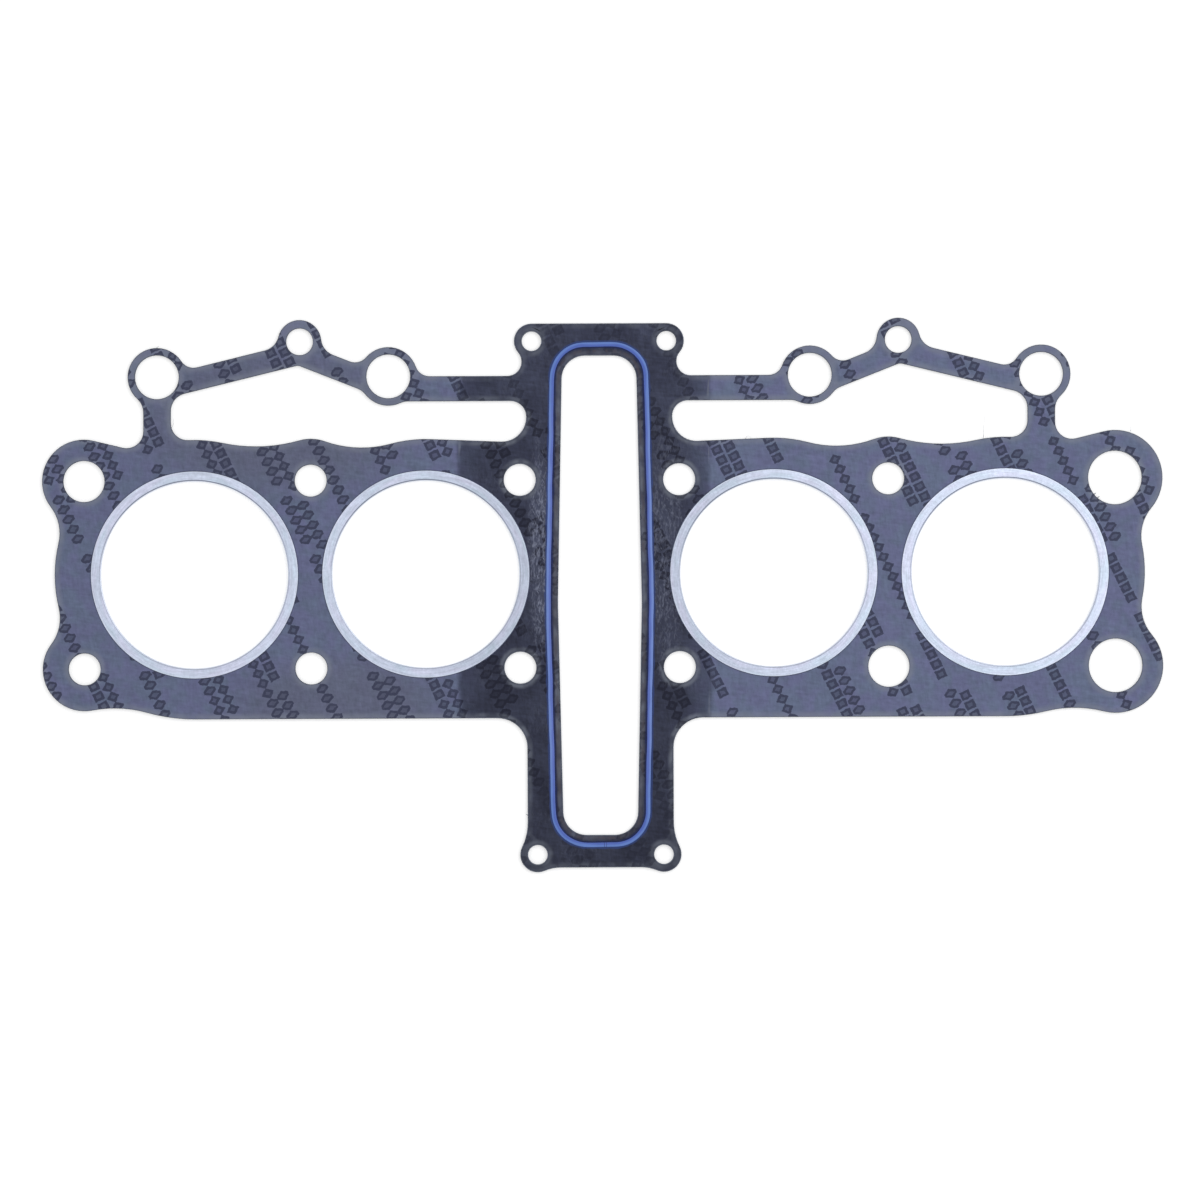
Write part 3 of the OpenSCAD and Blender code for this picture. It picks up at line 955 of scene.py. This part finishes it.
def merged_copy(node: str) -> Mesh:
    """Copies a CAD node's mesh, and joins its loose triangles up.

    Args:
        node: Name of the node.

    Returns:
        The copy.
    """
    bm = bmesh.new()
    bm.from_mesh(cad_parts[node].data)
    bmesh.ops.remove_doubles(bm, verts=bm.verts, dist=MERGE_DIST)
    return bm


def add_piece(bm: Mesh, name: str, material: Material,
              nodes: Iterable[str] = ()) -> Object:
    """Makes a finished mesh into a piece of the object.

    Args:
        bm: The mesh, in the CAD's frame. It is used up.
        name: Name of the piece.
        material: Its material.
        nodes: CAD nodes that it stands for.

    Returns:
        The new object.
    """
    for face in bm.faces:
        face.smooth = True
    for edge in bm.edges:
        edge.smooth = edge.calc_face_angle(0.0) < SHARP_ANGLE
    mesh = bpy.data.meshes.new(name)
    bm.to_mesh(mesh)
    bm.free()
    carried = mesh.attributes.get("custom_normal")
    if carried is not None:
        mesh.attributes.remove(carried)
    mesh.materials.append(material)
    piece = bpy.data.objects.new(name, mesh)
    bpy.context.scene.collection.objects.link(piece)
    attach(piece, "root")
    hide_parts(*nodes)
    LOG.info("%s: %d faces", name, len(mesh.polygons))
    return piece


def keep_flats(piece: Object) -> None:
    """Lets the large flat faces keep their own shading next to rounded edges."""
    weighted = piece.modifiers.new("flat_normals", "WEIGHTED_NORMAL")
    weighted.keep_sharp = True


def is_flat(face: bmesh.types.BMFace) -> bool:
    """Tells whether a face lies at one height, even where it is too thin for a normal."""
    heights = [v.co.z for v in face.verts]
    return max(heights) - min(heights) < MERGE_DIST


class CutLine:
    """The outline and holes that the sheet is punched to, as points to measure from."""

    def __init__(self, node: str, gap: float = 0.3 * MM) -> None:
        """Sets points along the cut edges.

        Args:
            node: Node of the sheet.
            gap: Longest way between two points, in metres.
        """
        bm = merged_copy(node)
        points = []
        for edge in bm.edges:
            if sum(is_flat(f) for f in edge.link_faces) == 1 and edge.verts[0].co.z > 0:
                start, end = (v.co.xy.to_3d() for v in edge.verts)
                count = math.ceil((end - start).length / gap)
                points += [start.lerp(end, step / count) for step in range(count)]
        bm.free()
        self.tree = KDTree(len(points))
        for index, point in enumerate(points):
            self.tree.insert(point, index)
        self.tree.balance()

    def depth(self, place: Vector) -> float:
        """Gives the level distance from the nearest cut edge, in millimetres."""
        return self.tree.find(place.xy.to_3d())[2] / MM


@dataclass
class PunchedSheet:
    """A flat layer for its node, with rounded edges and fine flats."""

    name: str
    node: str
    slot: Slot
    edge_r: float
    edge_steps: int
    rim_w: float = 0.9 * MM
    grid_w: float = 2.3 * MM
    grid_start: float = 0.63

    def square_walls(self, bm: Mesh) -> None:
        """Takes the slanted edges out of the walls, so that each wall face has four sides.

        Args:
            bm: Mesh of the layer.
        """
        slanted = []
        for edge in bm.edges:
            run = edge.verts[1].co - edge.verts[0].co
            level = math.hypot(run.x, run.y)
            if abs(run.z) > MERGE_DIST and level > MERGE_DIST:
                slanted.append(edge)
        bmesh.ops.dissolve_edges(bm, edges=slanted, use_verts=False)

    def grid_flats(self, bm: Mesh) -> None:
        """Sets a rim off both flat sides, and cuts what is inside it into a grid.

        Args:
            bm: Mesh of the layer.
        """
        heights = [v.co.z for v in bm.verts]
        for level in (max(heights), min(heights)):
            caps = [f for f in bm.faces if is_flat(f) and abs(f.verts[0].co.z - level) < MERGE_DIST]
            bmesh.ops.inset_region(bm, faces=caps, thickness=self.rim_w, use_boundary=True,
                                   use_even_offset=True)
            inner = set(caps)
            seams = [e for e in bm.edges if e.link_faces and inner.issuperset(e.link_faces)]
            inner = set(bmesh.ops.dissolve_limit(bm, angle_limit=SHARP_ANGLE, verts=[],
                                                 edges=seams)["region"])
            edges = [e for e in bm.edges if not inner.isdisjoint(e.link_faces)]
            corners = [v for v in bm.verts if not inner.isdisjoint(v.link_faces)]
            geom = [f for f in bm.faces if f in inner] + edges + corners
            for axis in (Vector((1, 0, 0)), Vector((0, 1, 0))):
                spread = [v.co.dot(axis) for v in bm.verts]
                start = min(spread)
                for step in range(1, math.ceil((max(spread) - start) / self.grid_w)):
                    at = start + (step - 1 + self.grid_start) * self.grid_w
                    geom = bmesh.ops.bisect_plane(bm, geom=geom, dist=MERGE_DIST,
                                                  plane_co=axis * at, plane_no=axis)["geom"]

    def round_edges(self, bm: Mesh) -> None:
        """Rounds the edges where the walls meet the flat sides.

        Args:
            bm: Mesh of the layer.
        """
        corners = [e for e in bm.edges if sum(is_flat(f) for f in e.link_faces) == 1]
        bmesh.ops.bevel(bm, geom=corners, offset=self.edge_r, offset_type="OFFSET",
                        segments=self.edge_steps, profile=0.5, affect="EDGES", material=-1,
                        clamp_overlap=False)

    def build(self, material: Material, line: CutLine) -> Object:
        """Builds and dresses the layer.

        Args:
            material: Its material.
            line: The cut edges that the distance stored on each point is measured from.

        Returns:
            The new piece.
        """
        bm = merged_copy(self.node)
        self.square_walls(bm)
        bm.normal_update()
        self.grid_flats(bm)
        bm.normal_update()
        self.round_edges(bm)
        layer = bm.verts.layers.float.new("depth")
        for vert in bm.verts:
            vert[layer] = line.depth(vert.co)
        piece = add_piece(bm, self.name, material, [self.node])
        keep_flats(piece)
        return piece


@dataclass
class FireRing:
    """A thin metal ring folded round the edge of one bore, with a groove at the fold."""

    number: int
    centre: Vector
    clear_r: float = 32.25 * MM
    outer_r: float = 35.7 * MM
    metal_t: float = 0.2 * MM
    top_z: float = 0.75 * MM
    fold_r: float = 0.4 * MM
    edge_r: float = 0.08 * MM
    fold_steps: int = 6
    edge_steps: int = 3
    groove_w: float = 0.16 * MM
    groove_depth: float = 0.035 * MM
    turns: int = 256

    def section(self, bm: Mesh) -> bmesh.types.BMFace:
        """Draws the ring's section, with its corners rounded.

        Args:
            bm: Mesh that the section is drawn in.

        Returns:
            The section, as one face at the right of the axis.
        """
        groove_r = self.clear_r + self.fold_r + self.groove_w / 2
        inner = self.clear_r + self.metal_t
        low = self.top_z - self.metal_t
        half = [
            (self.clear_r, self.top_z), (groove_r - self.groove_w / 2, self.top_z),
            (groove_r, self.top_z - self.groove_depth), (groove_r + self.groove_w / 2, self.top_z),
            (self.outer_r, self.top_z), (self.outer_r, low), (inner, low),
        ]
        points = half + [(r, -z) for r, z in reversed(half)]
        verts = [bm.verts.new((r, 0.0, z)) for r, z in points]
        face = bm.faces.new(verts)
        folds = [v for v in verts if v.co.x == verts[0].co.x]
        lips = [v for v in verts if v.co.x == verts[4].co.x and abs(v.co.z) > low + MERGE_DIST]
        for corners, radius, steps in ((folds, self.fold_r, self.fold_steps),
                                       (lips, self.edge_r, self.edge_steps)):
            bmesh.ops.bevel(bm, geom=corners, offset=radius, offset_type="OFFSET", segments=steps,
                            profile=0.5, affect="VERTICES", material=-1)
        return face

    def build(self, material: Material) -> Object:
        """Builds and dresses the ring.

        Args:
            material: Its material.

        Returns:
            The new piece.
        """
        bm = bmesh.new()
        self.section(bm)
        bmesh.ops.spin(bm, geom=bm.verts[:] + bm.edges[:] + bm.faces[:], cent=(0, 0, 0),
                       axis=(0, 0, 1), angle=math.tau, steps=self.turns, use_merge=True)
        sections = [f for f in bm.faces if len(f.verts) > 4]
        bmesh.ops.delete(bm, geom=sections, context="FACES_ONLY")
        bmesh.ops.remove_doubles(bm, verts=bm.verts, dist=MERGE_DIST)
        bmesh.ops.recalc_face_normals(bm, faces=bm.faces)
        about = bm.verts.layers.float_vector.new("about")
        for vert in bm.verts:
            vert[about] = vert.co
        bmesh.ops.translate(bm, verts=bm.verts, vec=self.centre)
        piece = add_piece(bm, f"ring_{self.number}", material,
                          [f"fire_ring_{self.number}"])
        keep_flats(piece)
        return piece


@dataclass
class SiliconeBead:
    """The printed bead round the chain tunnel on one face.

    Each wave that it sways with is a length in millimetres and a share of the sway.
    """

    face: Face
    station: float = 2.4 * MM
    long_run: float = 8 * MM
    chord_limit: float = 0.5 * MM
    foot_limit: float = 1.785 * MM
    sway: float = 0.11 * MM
    left_phase: float = 1.7
    long_wave: Pair = (4.3, 0.6)
    short_wave: Pair = (1.9, 0.35)
    end_wave: Pair = (2.3, 0.5)

    def square_strips(self, bm: Mesh) -> None:
        """Takes the slanted edges out, so that each face runs square to the bead.

        Args:
            bm: Mesh of the bead.
        """
        slanted = []
        for edge in bm.edges:
            rises = abs(edge.verts[0].co.z - edge.verts[1].co.z) > MERGE_DIST
            length = edge.calc_length()
            on_foot = all(is_flat(f) and f.normal.z * self.face.value < 0 for f in edge.link_faces)
            if length > self.chord_limit if rises else on_foot and length > self.foot_limit:
                slanted.append(edge)
        bmesh.ops.dissolve_edges(bm, edges=slanted, use_verts=False)

    def cut_stations(self, bm: Mesh) -> None:
        """Cuts the long straight stretches into short ones of even length.

        Args:
            bm: Mesh of the bead.
        """
        groups: dict[int, list[bmesh.types.BMEdge]] = {}
        for edge in bm.edges:
            length = edge.calc_length()
            if length > self.long_run:
                groups.setdefault(round(length / self.station) - 1, []).append(edge)
        for cuts, edges in sorted(groups.items()):
            bmesh.ops.subdivide_edges(bm, edges=edges, cuts=cuts, use_grid_fill=True)

    def waver(self, bm: Mesh) -> None:
        """Lets the bead sway a little to each side, as a printed line does.

        Args:
            bm: Mesh of the bead.
        """
        for vert in bm.verts:
            x, y = vert.co.x / MM, vert.co.y / MM
            phase = 1.0 if x > 0 else self.left_phase
            far = math.sin(y / self.long_wave[0] + phase * 2) * self.long_wave[1]
            near = math.sin(y / self.short_wave[0] + phase) * self.short_wave[1]
            vert.co.x += self.sway * (far + near)
            vert.co.y += self.sway * math.sin(x / self.end_wave[0]) * self.end_wave[1]

    def build(self, material: Material) -> Object:
        """Builds and dresses the bead.

        Args:
            material: Its material.

        Returns:
            The new piece.
        """
        side = self.face.name.lower()
        bm = merged_copy(f"bead_{side}")
        bm.normal_update()
        self.square_strips(bm)
        self.cut_stations(bm)
        self.waver(bm)
        piece = add_piece(bm, f"silicone_bead_{side}", material, [f"bead_{side}"])
        smooth = piece.modifiers.new("smooth", "SUBSURF")
        smooth.levels = smooth.render_levels = 1
        return piece


@dataclass
class CutFibres:
    """Slivers and loose fibres that the punch left at the edges. Lengths are millimetres.

    Each strand is its radius at the root, and the path that it follows from there.
    """

    sides: int = 6
    slim: float = 0.82
    strands: tuple[tuple[float, tuple[Triple, ...]], ...] = (
        (0.19, ((170.2, 26.2, 0.2), (170.9, 26.9, 0.3), (171.3, 27.1, 0.35), (171.5, 26.9, 0.4))),
        (0.19, ((171.3, 24.9, 0.2), (172.0, 25.6, 0.3), (172.4, 25.9, 0.35), (172.6, 25.7, 0.4))),
        (0.19, ((-25.0, -83.4, 0.1), (-25.4, -83.2, 0.15), (-25.7, -82.9, 0.2))),
        (0.1, ((-153.4, 77.6, 0.2), (-152.6, 78.4, 0.3), (-151.8, 79.0, 0.35))),
        (0.07, ((-147.9, 50.4, 0.2), (-147.1, 51.4, 0.3), (-146.7, 52.6, 0.35),
                (-146.9, 53.7, 0.4))),
        (0.07, ((50.3, 46.0, 0.2), (50.9, 47.1, 0.3), (51.5, 47.5, 0.35), (52.0, 47.0, 0.4),
                (52.4, 46.1, 0.3))),
        (0.07, ((183.3, 48.2, 0.2), (183.4, 49.3, 0.3), (183.4, 50.2, 0.3))),
        (0.07, ((132.4, 45.6, 0.1), (132.6, 47.5, 0.25), (132.5, 49.8, 0.4), (132.9, 52.0, 0.45),
                (132.8, 54.0, 0.5))),
    )

    def strand(self, bm: Mesh, radius: float, path: Sequence[Triple]) -> None:
        """Draws one closed fibre along a path, thinner towards its tip.

        Args:
            bm: Mesh that the fibre is drawn in.
            radius: Radius at the root.
            path: Points that it follows, from its root.
        """
        points = [Vector(p) * MM for p in path]
        made = bmesh.ops.create_circle(bm, cap_ends=True, segments=self.sides,
                                       radius=radius * MM)["verts"]
        turn = (points[1] - points[0]).to_track_quat("Z", "Y").to_matrix()
        bmesh.ops.rotate(bm, verts=made, cent=(0, 0, 0), matrix=turn)
        bmesh.ops.translate(bm, verts=made, vec=points[0])
        face = made[0].link_faces[0]
        for index in range(1, len(points)):
            grown = bmesh.ops.extrude_face_region(bm, geom=[face])["geom"]
            if index > 1:
                bmesh.ops.delete(bm, geom=[face], context="FACES_ONLY")
            face = next(g for g in grown if isinstance(g, bmesh.types.BMFace))
            made += face.verts
            bmesh.ops.translate(bm, verts=face.verts, vec=points[index] - points[index - 1])
            bmesh.ops.scale(bm, verts=face.verts, vec=[self.slim] * 3,
                            space=Matrix.Translation(-points[index]))
        faces = dict.fromkeys(f for v in made for f in v.link_faces)
        bmesh.ops.recalc_face_normals(bm, faces=list(faces))

    def build(self, material: Material) -> Object:
        """Builds and dresses all the fibres.

        Args:
            material: Their material.

        Returns:
            The new piece.
        """
        bm = bmesh.new()
        for radius, path in self.strands:
            self.strand(bm, radius, path)
        return add_piece(bm, "cut_fibres", material)


@dataclass
class Studio:
    """Pale floor, a soft lamp and a camera straight above."""

    low_z: float
    top_z: float
    floor_size: float = 8.0
    floor_gap: float = 0.00002
    floor_share: float = 0.8
    floor_lift: float = 0.4
    sky: float = 0.71
    lamp_size: float = 1.5
    lamp_watts: float = 6.5
    lamp_place: Triple = (0.75, 0.5, 1.15)
    camera_height: float = 2.0
    frame_width: float = 0.4138
    aim: Pair = (0.00003, -0.00917)
    roll: float = -0.0040

    def seen(self, nodes: Nodes) -> Socket:
        """Is 1 for rays from the camera, and for what metal or glass shows."""
        rays = nodes.add("ShaderNodeLightPath").outputs
        return nodes.most(*[rays[f"Is {ray} Ray"] for ray in ("Camera", "Glossy", "Transmission")])

    def floor(self) -> Object:
        """Lays the floor under the gasket.

        Returns:
            The floor.
        """
        bm = bmesh.new()
        bmesh.ops.create_grid(bm, x_segments=1, y_segments=1, size=self.floor_size / 2)
        bmesh.ops.translate(bm, verts=bm.verts, vec=(0, 0, self.low_z - self.floor_gap))
        mesh = bpy.data.meshes.new("floor")
        bm.to_mesh(mesh)
        bm.free()
        s = Shader("floor", roughness=1.0, gloss=0.0)
        s.wire(s.surface, {"Base Color": (*[self.floor_share] * 3, 1.0), "Emission Color": WHITE,
                           "Emission Strength": s.times(self.seen(s), self.floor_lift)})
        mesh.materials.append(s.material)
        floor = bpy.data.objects.new("floor", mesh)
        bpy.context.scene.collection.objects.link(floor)
        return floor

    def world(self) -> None:
        """Sets a pale world, white where it is seen."""
        world = bpy.data.worlds.new("studio")
        world.use_nodes = True
        nodes = Nodes(world.node_tree)
        level = nodes.sloped(self.seen(nodes), 1.0 - self.sky, self.sky)
        nodes.wire(nodes.tree.nodes["Background"], {"Color": WHITE, "Strength": level})
        bpy.context.scene.world = world

    def lamp(self) -> None:
        """Hangs one large soft lamp above the upper right."""
        data = bpy.data.lights.new("soft_box", "AREA")
        data.shape = "DISK"
        data.size = self.lamp_size
        data.energy = self.lamp_watts
        lamp = bpy.data.objects.new("soft_box", data)
        lamp.location = self.lamp_place
        lamp.rotation_euler = (-Vector(self.lamp_place)).to_track_quat("-Z", "Y").to_euler()
        bpy.context.scene.collection.objects.link(lamp)

    def camera(self) -> None:
        """Puts the camera where the photograph was taken from."""
        data = bpy.data.cameras.new("camera")
        data.lens = data.sensor_width * self.camera_height / self.frame_width
        camera = bpy.data.objects.new("camera", data)
        camera.location = (self.aim[0], self.aim[1], self.top_z + self.camera_height)
        camera.rotation_euler = (0.0, 0.0, self.roll)
        bpy.context.scene.collection.objects.link(camera)
        bpy.context.scene.camera = camera

    def build(self) -> None:
        """Sets the whole stage."""
        self.floor()
        self.world()
        self.lamp()
        self.camera()
        bpy.context.scene.view_settings.view_transform = "Standard"


def main() -> None:
    """Builds the gasket's pieces in order, and then the studio round them."""
    logging.basicConfig(level=logging.INFO, format="%(name)s: %(message)s")
    coat_low, coat_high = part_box("coat_upper")
    facing = FacingFinish(CoatSides(coat_low.x / MM, coat_high.x / MM))
    line = CutLine("sheet")
    PunchedSheet("facing_sheet", "sheet", Slot.FACING, 0.12 * MM, 3).build(facing.material(), line)
    run = TunnelRun.of_node("bead_upper")
    coat = CoatFinish(facing, run).material()
    bead = BeadFinish(run).material()
    for face in Face:
        side = face.name.lower()
        film = PunchedSheet(f"coat_film_{side}", f"coat_{side}", Slot.COAT, 0.02 * MM, 2)
        film.build(coat, line)
        SiliconeBead(face).build(bead)
    metal = RingFinish().material()
    for number in range(1, 5):
        low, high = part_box(f"fire_ring_{number}")
        FireRing(number, (low + high) / 2).build(metal)
    CutFibres().build(FibreFinish().material())
    Studio(low_z=cad_box[0].z, top_z=cad_box[1].z).build()


if __name__ == "__main__":
    main()
